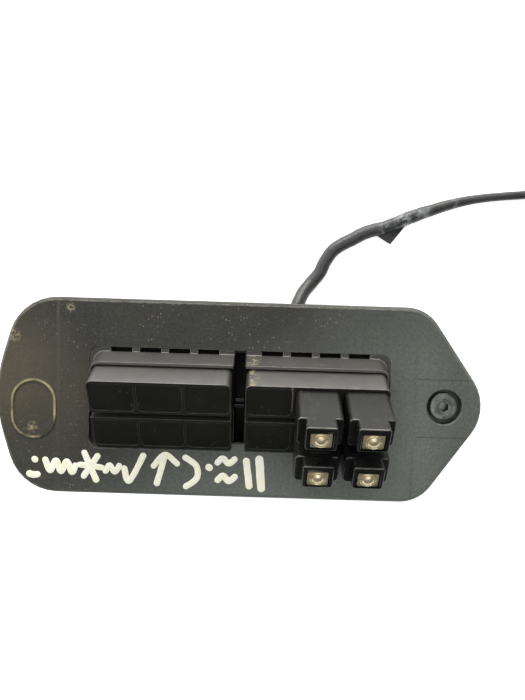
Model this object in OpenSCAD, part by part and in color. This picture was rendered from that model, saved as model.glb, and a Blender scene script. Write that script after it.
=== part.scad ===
// Sliding-door contact panel: a moulded face plate that carries two slanted blocks of
// contact cells. Four cells hold sprung plungers, and the other eight are blanked.
// The panel lies face up on its rear cover. +X runs along the plate towards its blunt
// end, +Z points out of the face, and the origin is under the middle of the plate.

/* [Plate] */
// Plate beyond the window's ends, up to the tips
end_margin = 31.6; // [30:0.1:40]
// Plate between the window's notched edge and the edge beyond it
top_margin = 16.45; // [14:0.05:20]
// Plate between the window's plain edge and the edge beyond it
low_margin = 16; // [13.4:0.05:20]
// Thickness of the plate's face
plate_thick = 3; // [2.5:0.1:3.6]
// Width and depth of the bevel round the face
plate_bevel = 1.1; // [0.6:0.1:1.5]
// Slope of the pointed end's sides, across over along
point_slope = 0.7; // [0.6:0.01:0.75]
// Slope of the blunt end's sides, across over along
blunt_slope = 0.3; // [0.2:0.01:0.36]
// Radius of the pointed end's nose
point_radius = 16; // [12:0.5:19.5]
// Radius of the blunt end's nose
blunt_radius = 49; // [40:1:59]
// Radius of the corners beside the pointed end
point_corner = 13; // [10:0.5:16]
// Radius of the corners beside the blunt end
blunt_corner = 17; // [14:0.5:20.5]
// Width of the rim behind the plate's edge
rim_width = 2; // [1.5:0.1:2.5]
// Width of the oval mark on the face
oval_w = 15.3; // [12:0.1:18.5]
// Height of the oval mark on the face
oval_h = 20.5; // [17:0.1:25]
// Distance of the oval mark's middle from the blunt tip
oval_inset = 12.75; // [11:0.05:16]

/* [Contact blocks] */
// Lean of the cells towards +Y
lean_angle = 28; // [23:0.5:34]
// Height of the blocks' front edge above the face
front_edge_z = 12.6; // [12.2:0.1:15.2]
// Pitch of the cells along a row
cell_pitch = 15.5; // [15:0.1:18.6]
// Height of one row of cells
row_height = 12.6; // [12.2:0.1:15.2]
// Gap between the two rows
row_gap = 2; // [1.5:0.1:2.4]
// Depth of the slot between the rows
row_slot_depth = 7; // [5:0.5:9]
// Gap between the two blocks
block_gap = 4.6; // [4.4:0.1:6]
// Wall between the last cell and the end of its block
cell_end_wall = 0.55; // [0.5:0.05:1.2]
// Depth of the housings
housing_depth = 22; // [21:0.5:26.5]
// Thickness of the terminal boards
board_thick = 2; // [1.5:0.1:2.4]
// Depth of a blank cell's front pocket
cap_depth = 6; // [5:0.5:7.5]

/* [Collar frame] */
// Wall of the collars
collar_wall = 1.2; // [1:0.05:1.5]
// Wall of the collars beside the middle slot
middle_wall = 0.55; // [0.45:0.05:0.7]
// Gap between a collar and its housing
collar_gap = 0.5; // [0.4:0.05:0.9]
// Depth of the collars' rims behind the blocks' front
collar_drop = 8.7; // [7.5:0.1:10.5]
// Gap between the collars and the window's notched edge
notch_depth = 1.3; // [0.9:0.05:1.4]
// Width of a clip slot
notch_w = 7.1; // [6:0.1:8.5]
// Pitch of the clip slots
notch_pitch = 9.8; // [9.4:0.1:11]
// Thickness of the base flange behind the plate
base_thick = 2; // [1.6:0.1:2.4]

/* [Plungers] */
// Travel of a plunger
travel = 6.5; // [5:0.5:8]
// Room behind a plunger that is pressed all the way
pressed_room = 3.5; // [2:0.5:5]
// Height of a plunger's front above the block
plunger_reach = 18.6; // [15.5:0.1:22.4]
// How much farther the lower row's plungers stand out
lower_reach = 0.6; // [0:0.1:1]
// Length of the tip in front of the shoulder
tip_length = 4.6; // [3.8:0.1:5.6]
// Width of the plunger's base
plunger_w = 14; // [13:0.1:14.4]
// Height of the plunger's base
plunger_h = 10.3; // [10:0.1:10.8]
// Width of the plunger's tip
tip_w = 9.6; // [8.6:0.1:11.5]
// Height of the plunger's tip
tip_h = 8.6; // [8.4:0.1:10]
// Clearance between a plunger or cap and its pocket
pocket_clear = 0.15; // [0.12:0.01:0.2]
// Radius of the plunger's bore
plunger_bore_r = 4.2; // [3.9:0.05:4.6]
// Radius of the contact's stem
stem_r = 1.25; // [1:0.05:1.5]
// Clearance round the contact's stem
stem_clear = 0.12; // [0.08:0.01:0.2]
// Radius of the spring's wire
spring_wire_r = 0.4; // [0.3:0.05:0.5]

/* [Rear cover] */
// Room between the blocks' rear and the cover's floor
terminal_room = 6.1; // [5.1:0.1:12]
// Wall and floor of the cover
cover_wall = 2; // [1.5:0.1:2.4]
// Thickness of the cover's flange
cover_flange = 2; // [1.5:0.1:2.4]
// Radius of the cover screws
cover_screw_r = 1.45; // [1.2:0.05:1.75]
// Radius of the cable grommet's neck
grommet_r = 3.6; // [3:0.1:4.1]

/* [Mounting screw] */
// Distance of the screw from the pointed tip
screw_inset = 12.8; // [12:0.1:13.4]
// Radius of the screw's seat in the face
seat_r = 6; // [5.2:0.1:7.2]
// Depth of the screw's seat
seat_depth = 3.2; // [3:0.1:3.6]
// Radius of the screw's head
head_r = 4.7; // [4.2:0.1:5.1]
// Radius of the screw's shank
shank_r = 2.5; // [2:0.1:3]

/* [Cable] */
// Diameter of the taped bundle where the cable leaves the cover
bundle_d = 5; // [4:0.1:5.6]
// Diameter of the cable beyond the bundle
cable_d = 3.2; // [2.8:0.1:3.8]
// Radius of the coil at the middle of the cable
coil_r = 17.6; // [16:0.1:19]
// Width of the connector
connector_w = 20; // [18:0.5:24]
// Height of the connector
connector_h = 12; // [10:0.5:14]

/* [Hidden] */
$fn = 48;
columns = 3;
rows = 2;
reach = 0.5;
touch_clear = 0.1;
small_step = 0.03;
small_drop = 0.2;
window_clear = 0.3;
lean_sin = sin(lean_angle);
lean_cos = cos(lean_angle);

// Leaned coordinates: x along the plate, v down the blocks' front, h out of it.
// h is 0 on the front, and v is 0 at its upper edge.
pocket_w = plunger_w + 2 * pocket_clear;
pocket_h = plunger_h + 2 * pocket_clear;
block_w = (columns - 1) * cell_pitch + pocket_w + 2 * cell_end_wall;
block_h = rows * row_height + (rows - 1) * row_gap;
block_x = (block_w + block_gap) / 2;
block_depth = housing_depth + board_thick;
guide_length = housing_depth - travel - pressed_room;
inner_x = block_gap / 2;
outer_x = inner_x + block_w;
flange_thick = 2;
flange_clear = 0.6;
collar_end = housing_depth - flange_thick;
collar_out = collar_gap + collar_wall;
end_room = 2.2;
collar_end_gap = 0.3;
collar_end_out = collar_end_gap + 0.9;
collar_low = window_clear + collar_wall;
middle_gap = touch_clear;
middle_x = inner_x - middle_gap - middle_wall;
bridge_width = 1.1;
bridge_y = [-0.6, 1.4];

// The window follows the blocks, and the plate follows the window
window_half = block_x + block_w / 2 + end_room;
window_v0 = -collar_out - notch_depth;
window_v1 = block_h + window_clear;
window_h = (window_v1 - window_v0) / lean_cos;
notch_y = notch_depth / lean_cos;
plate_width = window_h + top_margin + low_margin;
plate_half = window_half + end_margin;
window_y0 = -plate_width / 2 + top_margin;
window_y1 = plate_width / 2 - low_margin;
front_edge_y = window_y0 - window_v0 / lean_cos + front_edge_z * tan(lean_angle);
window_corner = 3;
bar_reach = 6.8;
bar_half = window_half - touch_clear;
middle_tab = 2.6;
rim_depth = base_thick;
oval_line = 0.9;
oval_raise = 0.3;
oval_y = 4.5;
tongue_w = 14;
tongue_wall = 2.5;
tongue_reach = 11;
tongue_drop = 10;
tongue_inset = 16;
gasket_depth = 3.5;
gasket_width = 1.6;
gasket_clear = 0.2;
plate_back = -plate_thick;
base_back = plate_back - base_thick;
flange_v0 = max(small_drop, (front_edge_z - lean_cos * collar_end - base_back + touch_clear) / lean_sin);

// Cover, sized round the blocks' rear
block_rear_z = front_edge_z - lean_sin * (block_h + collar_low) - lean_cos * block_depth;
face_z = cover_wall + terminal_room - block_rear_z;
cover_clear = 2.4;
cable_room = 7.45;
flange_out = 6;
flange_side = 2.5;
cover_x = window_half + cover_clear;
cover_y0 = window_y0 - cable_room;
cover_y1 = window_y1 + cover_clear;
flange_back = base_back - cover_flange;
flange_x = cover_x + cover_wall + flange_out;
flange_y0 = cover_y0 - cover_wall - flange_side;
flange_y1 = cover_y1 + cover_wall + flange_side;
flange_corner = 6;
cover_corner = 4;
cover_screw_x = cover_x + cover_wall + flange_out / 2;
cover_screw_inset = 8;
cover_screw_y = [flange_y0 + cover_screw_inset, flange_y1 - cover_screw_inset];
cover_boss_r = 3.5;
cover_head_r = 2.9;
cover_head = 2;
cover_screw_end = 1.4;

// Mounting screw
screw_x = -plate_half + screw_inset;
boss_r = seat_r + 1.2;
boss_back = -9;
bush_r = shank_r + 1.5;
head_drop = 0.4;
socket_depth = 1.8;
neck_r = shank_r - 0.4;
bush_clear = 0.25;
washer_thick = 0.8;
screw_end = -17;
socket_across = 3;

// Plunger
shoulder = plunger_reach - tip_length;
cavity_top = shoulder - 3;
recess_depth = 1.2;
recess_w = tip_w - 2.4;
recess_h = tip_h - 2.6;
contact_flange = 0.7;
contact_flange_w = recess_w - 0.7;
contact_flange_h = recess_h - 0.6;
contact_ring = 1.1;
contact_ring_r = 2.5;
contact_dome = 0.6;
contact_dome_r = 1.75;
lug_out = 0.6;
lug_len = 1.5;
lug_w = 6;
lug_clear = 0.2;
stem_end = block_depth + 1;
hole_r = stem_r + stem_clear;
spring_lift = 0.12;
spring_turns = 9;

// Blank cells
core_margin = 1.6;
core_margin_v = 2;
web_thick = 1.6;
cap_wall = 1.2;
cap_front = 1.55;
cap_drop = 0.05;

// Terminals
clip_r = 2.6;
clip_reach = 5.5;
clip_width = 2;
clip_thick = 1.4;
clip_drum = 2;

// Populated cells, by block, column and row, and the blank ones
plunger_cells = [[0, 1, 0], [0, 0, 0], [0, 1, 1], [0, 0, 1]];
blank_cells = [[0, 2, 0], [0, 2, 1], [1, 0, 0], [1, 1, 0], [1, 2, 0], [1, 0, 1], [1, 1, 1], [1, 2, 1]];

// Cable route in plan and height, from the grommet to the coil
grommet_x = -19;
grommet_z = 8.5;
grommet_out = 2;
grommet_lip = 1.2;
lead_r = 0.65;
bundle_points = 12;
thin_points = 15;
route = [
    [-19.5, -32, 8.1], [-21, -36, 6.1], [-23, -39.5, 4], [-25.5, -42.5, 2.8], [-28.5, -46.5, 2.5],
    [-30.5, -51, 2.5], [-34, -55.5, 2.5], [-39.5, -58.8, 2.5], [-46, -62.2, 2.5], [-53, -64.2, 2.5],
    [-62, -68.2, 2.1], [-70, -71.2, 1.8], [-80, -74.4, 1.6], [-90, -76.4, 1.6], [-104.5, -78, 1.6],
    [-116, -78.7, 1.6], [-128, -78.8, 1.6]
];
coil_at = [-128, -98];
tie_angle = 120;
tail = [
    [-145.6, -98, 4.4], [-145.7, -104, 4.5], [-145.5, -110, 4.4], [-144.6, -116, 3.6], [-142.6, -121.5, 3.3],
    [-139.4, -126.2, 3.9], [-135.6, -129.7, 5.2], [-132.4, -131, 6], [-131, -131, 6]
];
connector_at = [-128, -131];
connector_len = 24;
connector_wall = 1.5;
seal_r = 4.2;
seal_len = 3;
lock_size = 8;
lock_inset = 3;

// Leads from the terminal clips to the grommet, after their first point at the clip
lead_end = [[-17.7, 9.8], [-20.3, 9.8], [-17.7, 7.2], [-20.3, 7.2]];
lead_routes = [
    [[-18.2, -14.4, 17], [-17, -16.5, 14.5], [-17.3, -18.5, 11], [-17.7, -21, 9.8]],
    [[-33.5, -14.4, 16.8], [-31, -18, 13.6], [-26, -19.8, 11], [-20.3, -21, 9.8]],
    [[-18, -1.6, 10], [-16.6, -5, 7], [-16.6, -12, 4.5], [-17.7, -20, 7.2]],
    [[-33.5, -1.8, 9.8], [-31.5, -5.5, 6.2], [-28, -13, 4], [-20.3, -20.5, 7.2]]
];

// Outlines

// Unit vector along a
function unit(a) = a / norm(a);
// Points of the arc that rounds corner p between its neighbours a and b
function corner_arc(p, a, b, r, n) = let(
    u = unit(a - p),
    w = unit(b - p),
    half = acos(u * w) / 2,
    c = p + unit(u + w) * r / sin(half),
    s = p + u * r / tan(half) - c,
    e = p + w * r / tan(half) - c,
    a0 = atan2(s[1], s[0]),
    turn = atan2(s[0] * e[1] - s[1] * e[0], s * e)
) [for (i = [0:n]) c + r * [cos(a0 + turn * i / n), sin(a0 + turn * i / n)]];
// Polygon with its corners rounded by the radii in r
function rounded(p, r, n = 5) = [
    for (i = [0:len(p) - 1])
        each corner_arc(p[i], p[(i + len(p) - 1) % len(p)], p[(i + 1) % len(p)], r[i], n)
];
// Rounded rectangle from a to b
function slab(a, b, r) = rounded([a, [b[0], a[1]], b, [a[0], b[1]]], [r, r, r, r]);
// Corners of the plate's outline, inset by d
function end_apex(slope, radius, d) = let(long = sqrt(1 + slope * slope))
    plate_half + radius * (long - 1) - d * long;
function end_corner(slope, radius, d) = end_apex(slope, radius, d) - slope * (plate_width / 2 - d);
function plate_outline(d) = let(
    y = plate_width / 2 - d,
    px = end_corner(point_slope, point_radius, d),
    bx = end_corner(blunt_slope, blunt_radius, d)
) rounded(
    [
        [-end_apex(point_slope, point_radius, d), 0], [-px, -y], [bx, -y],
        [end_apex(blunt_slope, blunt_radius, d), 0], [bx, y], [-px, y]
    ],
    [
        point_radius - d, point_corner - d, blunt_corner - d,
        blunt_radius - d, blunt_corner - d, point_corner - d
    ], 7);

// Tube swept along points, with a radius for each point
function along(p, i) = unit(p[min(i + 1, len(p) - 1)] - p[max(i - 1, 0)]);
function ring(p, i, r, n) = let(t = along(p, i), a = unit(cross(t, [0, 0, 1])), b = cross(t, a))
    [for (k = [0:n - 1]) p[i] + r * (cos(360 * k / n) * a + sin(360 * k / n) * b)];
function even(p, r) = [for (i = [1:len(p)]) r];
module tube(p, r, n = 8) {
    m = len(p) - 1;
    polyhedron(
        [for (i = [0:m]) each ring(p, i, r[i], n)],
        [
            [for (k = [0:n - 1]) n - 1 - k],
            [for (k = [0:n - 1]) m * n + k],
            for (i = [0:m - 1], k = [0:n - 1]) let(a = i * n + k, b = i * n + (k + 1) % n)
                each [[a, b, b + n], [a, b + n, a + n]]
        ]
    );
}

// Places

module on_face(z = 0) {
    translate([0, 0, face_z + z]) children();
}
module leaned() {
    translate([0, front_edge_y, face_z + front_edge_z]) rotate([-lean_angle, 0, 0]) children();
}
function side(block) = block == 0 ? -1 : 1;
function cell_x(cell) = side(cell[0]) * block_x + (cell[1] - 1) * cell_pitch;
function cell_v(cell) = row_height / 2 + cell[2] * (row_height + row_gap);
function cell_rest(cell) = cell[2] * lower_reach;
module at_cell(cell, h = 0) {
    leaned() translate([cell_x(cell), cell_v(cell), h]) children();
}
// Prism in leaned coordinates over an outline, from h0 to h1
module prism(outline, h0, h1) {
    translate([0, 0, h0]) linear_extrude(h1 - h0) polygon(outline);
}

// Plate

module oval(grow) {
    corner = [oval_w / 2 + grow, oval_h / 2 + grow];
    polygon(slab(-corner, corner, oval_w / 2 + grow - 0.01));
}
module at_cover_screws() {
    for (x = [-cover_screw_x, cover_screw_x], y = cover_screw_y) {
        translate([x, y, 0]) children();
    }
}
module face_plate() {
    color("dimgray") difference() {
        union() {
            hull() {
                on_face(-plate_thick) linear_extrude(plate_thick - plate_bevel) polygon(plate_outline(0));
                on_face(-plate_thick) linear_extrude(plate_thick) polygon(plate_outline(plate_bevel));
            }
            on_face(plate_back - rim_depth) linear_extrude(rim_depth + reach) difference() {
                polygon(plate_outline(0));
                polygon(plate_outline(rim_width));
            }
            translate([plate_half - oval_inset, oval_y, 0]) on_face(-reach)
                linear_extrude(reach + oval_raise) difference() {
                    oval(0);
                    oval(-oval_line);
                }
            translate([screw_x, 0, 0]) on_face(boss_back) cylinder(r = boss_r, h = -boss_back - reach);
            at_cover_screws() on_face(base_back) cylinder(r = cover_boss_r, h = base_thick + reach);
            tongue();
        }
        window();
        translate([screw_x, 0, 0]) on_face(-seat_depth) cylinder(r = seat_r, h = seat_depth + 1);
        translate([screw_x, 0, 0]) on_face(boss_back - 1)
            cylinder(r = bush_r + touch_clear / 2, h = 1 - boss_back);
        at_cover_screws() on_face(base_back - 1)
            cylinder(r = cover_screw_r + touch_clear / 2, h = plate_thick + base_thick);
    }
}
// Slanted window for the two blocks, with a tab at the foot of the middle slot
module window() {
    difference() {
        intersection() {
            leaned() prism(slab([-window_half, window_v0], [window_half, window_v1], window_corner),
                -block_depth, plunger_reach);
            on_face(-plate_thick - 1) translate([-plate_half, -plate_width / 2, 0])
                cube([2 * plate_half, plate_width, plate_thick + 2]);
        }
        translate([-block_gap / 2, window_y1 - middle_tab, 0]) on_face(-plate_thick)
            cube([block_gap, middle_tab + plate_thick, plate_thick]);
    }
}
// Hooked tongue behind the blunt end
module tongue() {
    translate([plate_half - tongue_inset, -tongue_w / 2, 0]) on_face(-tongue_drop) {
        cube([tongue_wall, tongue_w, tongue_drop - plate_thick + reach]);
        cube([tongue_reach, tongue_w, tongue_wall]);
    }
}
module plate_gasket() {
    color("black") on_face(plate_back - gasket_depth) linear_extrude(gasket_depth) difference() {
        polygon(plate_outline(rim_width + gasket_clear));
        polygon(plate_outline(rim_width + gasket_clear + gasket_width));
    }
}

// Collar frame behind the plate, with a collar round each block

module block_side(block) {
    mirror([block == 0 ? 1 : 0, 0, 0]) children();
}
// Outline from x0 and v0 to x1 and v1, with sharper corners beside the middle slot
function collar_outline(x0, v0, x1, v1, sharp, round) =
    rounded([[x0, v0], [x1, v0], [x1, v1], [x0, v1]], [sharp, round, round, sharp]);
module collar_outer() {
    prism(collar_outline(middle_x, -collar_out, outer_x + collar_end_out, block_h + collar_low, 0.4, 4),
        -collar_end, -collar_drop);
}
module collar_inner() {
    x0 = inner_x - middle_gap;
    prism(collar_outline(x0, -collar_gap, outer_x + collar_end_gap, block_h + window_clear, 0.2, 2.4),
        -collar_end - 1, reach);
}
// Bar that fills the notched edge of the window, and its corner
module clip_bar() {
    intersection() {
        leaned() prism(slab([-bar_half, window_v0 + touch_clear], [bar_half, 2 * bar_reach],
            window_corner - touch_clear), -block_depth, block_depth);
        translate([middle_x, window_y0, 0]) on_face(plate_back)
            cube([plate_half, bar_reach, plate_thick - small_drop]);
    }
}
module clip_slots() {
    for (i = [0:3]) {
        x = block_x + (i - 1.5) * notch_pitch - notch_w / 2;
        translate([x, window_y0 - 1, 0]) on_face(plate_back - base_thick - 1)
            cube([notch_w, notch_y + 1, plate_thick + base_thick + 1]);
    }
}
module base_outline() {
    polygon(slab([-flange_x, flange_y0], [flange_x, flange_y1], flange_corner));
}
module collar_frame() {
    slot_y0 = window_y0 + 1;
    slot_half = middle_x + small_step;
    color("darkslategray") {
        difference() {
            union() {
                on_face(base_back) linear_extrude(base_thick) base_outline();
                for (block = [0, 1]) block_side(block) {
                    leaned() collar_outer();
                    clip_bar();
                }
            }
            for (block = [0, 1]) block_side(block) {
                leaned() collar_inner();
                clip_slots();
            }
            on_face(-block_depth) translate([-slot_half, slot_y0, 0])
                cube([2 * slot_half, window_y1 - middle_tab - slot_y0, 2 * block_depth]);
            at_cover_screws() on_face(base_back - 1)
                cylinder(r = cover_boss_r + touch_clear, h = base_thick + 2);
        }
        for (y = bridge_y) {
            translate([-middle_x - middle_wall / 2, y, 0]) on_face(base_back)
                cube([2 * middle_x + middle_wall, bridge_width, base_thick + 1]);
        }
    }
}

// Housings, terminal boards and caps

// Body of a housing and its stop flange, which is left off beside the middle slot
module housing_body() {
    x = block_w / 2;
    out = collar_out - flange_clear;
    low = collar_low - flange_clear;
    prism(slab([-x, 0], [x, block_h], 2), -housing_depth, 0);
    prism(slab([-x - out, flange_v0], [x, block_h + low], 1.5), -housing_depth, -collar_end);
}
module row_slot() {
    translate([-block_w, row_height, -row_slot_depth]) cube([2 * block_w, row_gap, row_slot_depth + 1]);
}
// Rounded rectangle about the middle, w by h
function middle_slab(w, h, r) = slab([-w / 2, -h / 2], [w / 2, h / 2], r);
module pocket(depth) {
    prism(middle_slab(pocket_w, pocket_h, 1.6), -depth, 1);
}
module blank_pocket() {
    pocket(cap_depth);
    prism(middle_slab(cell_pitch - core_margin, row_height - core_margin_v, 1.6),
        -housing_depth - 1, -cap_depth - web_thick);
}
// Pocket of a plunger, with channels for its lugs
module plunger_pocket(rest) {
    channel = [lug_w + 2 * lug_clear, pocket_h + 2 * lug_out];
    pocket(housing_depth + 1);
    translate([-channel[0] / 2, -channel[1] / 2, -housing_depth - 1])
        cube([channel[0], channel[1], housing_depth + 1 - guide_length + lug_len + touch_clear + rest]);
}
module housing(block) {
    difference() {
        leaned() translate([side(block) * block_x, 0, 0]) {
            block_side(1 - block) housing_body();
        }
        leaned() translate([side(block) * block_x, 0, 0]) row_slot();
        for (cell = blank_cells) if (cell[0] == block) at_cell(cell) blank_pocket();
        for (cell = plunger_cells) if (cell[0] == block) at_cell(cell) plunger_pocket(cell_rest(cell));
    }
}
module contact_housing_a() {
    color("#2b2c2a") housing(0);
}
module contact_housing_b() {
    color("#2b2c2a") housing(1);
}
module terminal_board(block) {
    difference() {
        leaned() translate([side(block) * block_x, 0, 0])
            prism(slab([-block_w / 2, 0], [block_w / 2, block_h], 2), -block_depth, -housing_depth);
        for (cell = plunger_cells) if (cell[0] == block) {
            at_cell(cell, -block_depth - 1) cylinder(r = hole_r, h = board_thick + 2);
        }
    }
}
module terminal_board_a() {
    color("#3a3a36") terminal_board(0);
}
module terminal_board_b() {
    color("#3a3a36") terminal_board(1);
}
module blank_cap(i) {
    color("#1d1e1b") at_cell(blank_cells[i]) difference() {
        prism(middle_slab(plunger_w, plunger_h, 1.5), -cap_depth, -cap_drop);
        prism(middle_slab(plunger_w - 2 * cap_wall, plunger_h - 2 * cap_wall, 0.8),
            -cap_depth - 1, -cap_drop - cap_front);
    }
}

// Plungers

module plunger_shell(i) {
    cell = plunger_cells[i];
    top = -plunger_h / 2;
    lug_h = plunger_h + 2 * (lug_out - touch_clear);
    color("#151515") at_cell(cell, cell_rest(cell)) difference() {
        union() {
            prism(middle_slab(plunger_w, plunger_h, 1.5), -guide_length, shoulder);
            prism(slab([-tip_w / 2, top], [tip_w / 2, top + tip_h], 1), shoulder - reach, plunger_reach);
            translate([-lug_w / 2, -lug_h / 2, -guide_length]) cube([lug_w, lug_h, lug_len]);
        }
        translate([0, 0, -guide_length - 1]) cylinder(r = plunger_bore_r, h = guide_length + 1 + cavity_top);
        cylinder(r = hole_r, h = plunger_reach);
        prism(middle_slab(recess_w, recess_h, 0.8), plunger_reach - recess_depth, plunger_reach + 1);
    }
}
module contact_pin(i) {
    cell = plunger_cells[i];
    seat = plunger_reach - recess_depth;
    dome = [for (a = [0:15:90]) [contact_dome_r * cos(a), contact_ring + contact_dome * sin(a)]];
    color("gold") at_cell(cell, cell_rest(cell)) {
        prism(middle_slab(contact_flange_w, contact_flange_h, 0.6), seat, seat + contact_flange);
        translate([0, 0, seat]) cylinder(r = contact_ring_r, h = contact_ring);
        translate([0, 0, seat]) rotate_extrude() polygon(concat([[0, 0]], dome));
        translate([0, 0, -stem_end]) cylinder(r = stem_r, h = stem_end + seat + reach);
    }
}
module plunger_spring(i) {
    cell = plunger_cells[i];
    steps = 12;
    coil = plunger_bore_r - spring_wire_r - 0.25;
    low = -housing_depth + spring_wire_r + spring_lift;
    high = cavity_top + cell_rest(cell) - spring_wire_r - spring_lift;
    wire = [
        for (k = [0:spring_turns * steps]) let(a = 360 * k / steps)
            [coil * cos(a), coil * sin(a), low + (high - low) * a / 360 / spring_turns]
    ];
    color("silver") at_cell(cell) tube(wire, even(wire, spring_wire_r), 6);
}
module terminal_clip(i) {
    color("goldenrod") at_cell(plunger_cells[i], -block_depth) difference() {
        union() {
            translate([0, 0, -clip_drum]) cylinder(r = clip_r, h = clip_drum);
            translate([0, -clip_width / 2, -clip_thick]) cube([clip_reach, clip_width, clip_thick]);
        }
        translate([0, 0, -clip_drum - 1]) cylinder(r = hole_r + touch_clear, h = clip_drum + 2);
    }
}
// Where a lead leaves its clip, in the model's frame
function lead_start(cell) = let(h = -block_depth - 0.9, v = cell_v(cell)) [
    cell_x(cell) + clip_reach,
    front_edge_y + lean_cos * v + lean_sin * h,
    face_z + front_edge_z - lean_sin * v + lean_cos * h
];
module lead_wire(i) {
    start = lead_start(plunger_cells[i]);
    end = [lead_end[i][0], cover_y0 + grommet_lip, lead_end[i][1]];
    path = concat([start, start + [0.8, 0, 0]], lead_routes[i], [end + [0, 1.2, 0], end]);
    color("firebrick") tube(path, even(path, lead_r), 6);
}

// Rear cover, its screws and the grommet

module rear_cover() {
    out = cover_x + cover_wall;
    color("#262626") difference() {
        union() {
            linear_extrude(face_z + flange_back + cover_flange)
                polygon(slab([-out, cover_y0 - cover_wall], [out, cover_y1 + cover_wall], cover_corner));
            on_face(flange_back) linear_extrude(cover_flange) base_outline();
        }
        translate([0, 0, cover_wall]) linear_extrude(face_z)
            polygon(slab([-cover_x, cover_y0], [cover_x, cover_y1], cover_corner - cover_wall));
        at_cover_screws() on_face(flange_back - 1)
            cylinder(r = cover_screw_r + small_drop, h = cover_flange + 2);
        translate([grommet_x, cover_y0 + 1, grommet_z]) rotate([90, 0, 0])
            cylinder(r = grommet_r, h = cover_wall + 2);
    }
}
module cover_screws() {
    shank = cover_flange + base_thick + plate_thick - cover_screw_end;
    color("silver") at_cover_screws() on_face(flange_back) difference() {
        union() {
            cylinder(r = cover_screw_r, h = shank);
            translate([0, 0, -cover_head]) cylinder(r = cover_head_r, h = cover_head);
        }
        translate([0, 0, -cover_head - 1]) cylinder(r = 1.2, h = cover_head + small_drop, $fn = 6);
    }
}
module mounting_screw() {
    color("gray") translate([screw_x, 0, 0]) difference() {
        union() {
            on_face(-seat_depth) cylinder(r = head_r, h = seat_depth - head_drop);
            on_face(screw_end) cylinder(r = neck_r, h = -screw_end - seat_depth + reach);
            on_face(screw_end) cylinder(r = shank_r, h = boss_back - washer_thick - screw_end);
        }
        on_face(-head_drop - socket_depth)
            cylinder(r = socket_across / 2 / cos(30), h = socket_depth + 1, $fn = 6);
    }
}
module screw_bush() {
    color("silver") translate([screw_x, 0, 0]) on_face(boss_back) difference() {
        cylinder(r = bush_r, h = -boss_back - seat_depth);
        translate([0, 0, -1]) cylinder(r = shank_r + bush_clear, h = -boss_back + 1);
    }
}
module screw_washer() {
    color("silver") translate([screw_x, 0, 0]) on_face(boss_back - washer_thick) difference() {
        cylinder(r = seat_r, h = washer_thick);
        translate([0, 0, -1]) cylinder(r = neck_r + touch_clear / 2, h = washer_thick + 2);
    }
}
module cable_grommet() {
    through = grommet_lip + cover_wall;
    color("#202020") translate([grommet_x, cover_y0 + grommet_lip, grommet_z]) rotate([90, 0, 0]) {
        cylinder(r = grommet_r + grommet_lip + small_drop, h = grommet_lip);
        cylinder(r = grommet_r, h = through + grommet_out);
        translate([0, 0, through]) cylinder(r = grommet_r + grommet_lip, h = 1);
    }
}

// Cable, its coil and the connector

// Radius of the cable at a point of its route, from the taped bundle down to the cable
function cable_r(i) = let(thin = min(1, max(0, (i - bundle_points) / (thin_points - bundle_points))))
    (bundle_d + (cable_d - bundle_d) * thin) / 2;
module harness_cable() {
    start = [grommet_x, cover_y0 - cover_wall - grommet_out, grommet_z];
    path = concat([start, start - [0, 1.2, 0]], route);
    color("#1c1c1c") tube(path, [for (i = [0:len(path) - 1]) cable_r(i)]);
}
module tape_flag() {
    color("#1c1c1c") translate([0, 0, bundle_d / 2 - 0.3]) linear_extrude(0.5)
        polygon([[-49.6, -60.9], [-54.8, -57.7], [-55.6, -62.6]]);
}
// Two turns side by side and one on top
module coil_section(clear) {
    translate([coil_r - cable_d - clear, 0]) square([2 * (cable_d + clear), 2 * cable_d + clear]);
}
module harness_coil() {
    color("#1c1c1c") translate(concat(coil_at, [0])) rotate_extrude($fn = 72) coil_section(0);
}
module coil_tie() {
    tie_thick = 0.9;
    tie_width = 3;
    color("#111111") translate(concat(coil_at, [0])) rotate([90, 0, tie_angle])
        translate([0, 0, -tie_width / 2]) linear_extrude(tie_width) difference() {
            translate([coil_r - cable_d - tie_thick, 0])
                square([2 * (cable_d + tie_thick), 2 * cable_d + tie_thick]);
            coil_section(touch_clear);
        }
}
module harness_tail() {
    color("#1c1c1c") tube(tail, even(tail, cable_d / 2));
}
module at_connector(x = 0, y = 0, z = 0) {
    translate([connector_at[0] + x, connector_at[1] + y, z]) children();
}
module connector_seal() {
    color("#3b3b3b") at_connector(z = connector_h / 2) rotate([0, -90, 0]) cylinder(r = seal_r, h = seal_len);
}
module connector_body() {
    in_w = connector_w - 2 * connector_wall;
    in_h = connector_h - 2 * connector_wall;
    window = lock_size + 2 * touch_clear;
    color("#1a1a1a") difference() {
        at_connector(0, -connector_w / 2) cube([connector_len, connector_w, connector_h]);
        at_connector(connector_len / 2, -in_w / 2, connector_wall) cube([connector_len, in_w, in_h]);
        at_connector(lock_inset - touch_clear, -window / 2, connector_h - 1) cube([window, window, 2]);
    }
}
module connector_pins() {
    color("gold") for (i = [-1.5:1:1.5]) {
        at_connector(connector_len / 2, i * connector_w / 5, connector_h / 2)
            rotate([0, 90, 0]) cylinder(r = 0.6, h = 6);
    }
}
module connector_lock() {
    color("#6a6a66") at_connector(lock_inset, -lock_size / 2, connector_h - 1)
        cube([lock_size, lock_size, 2]);
}

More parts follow.
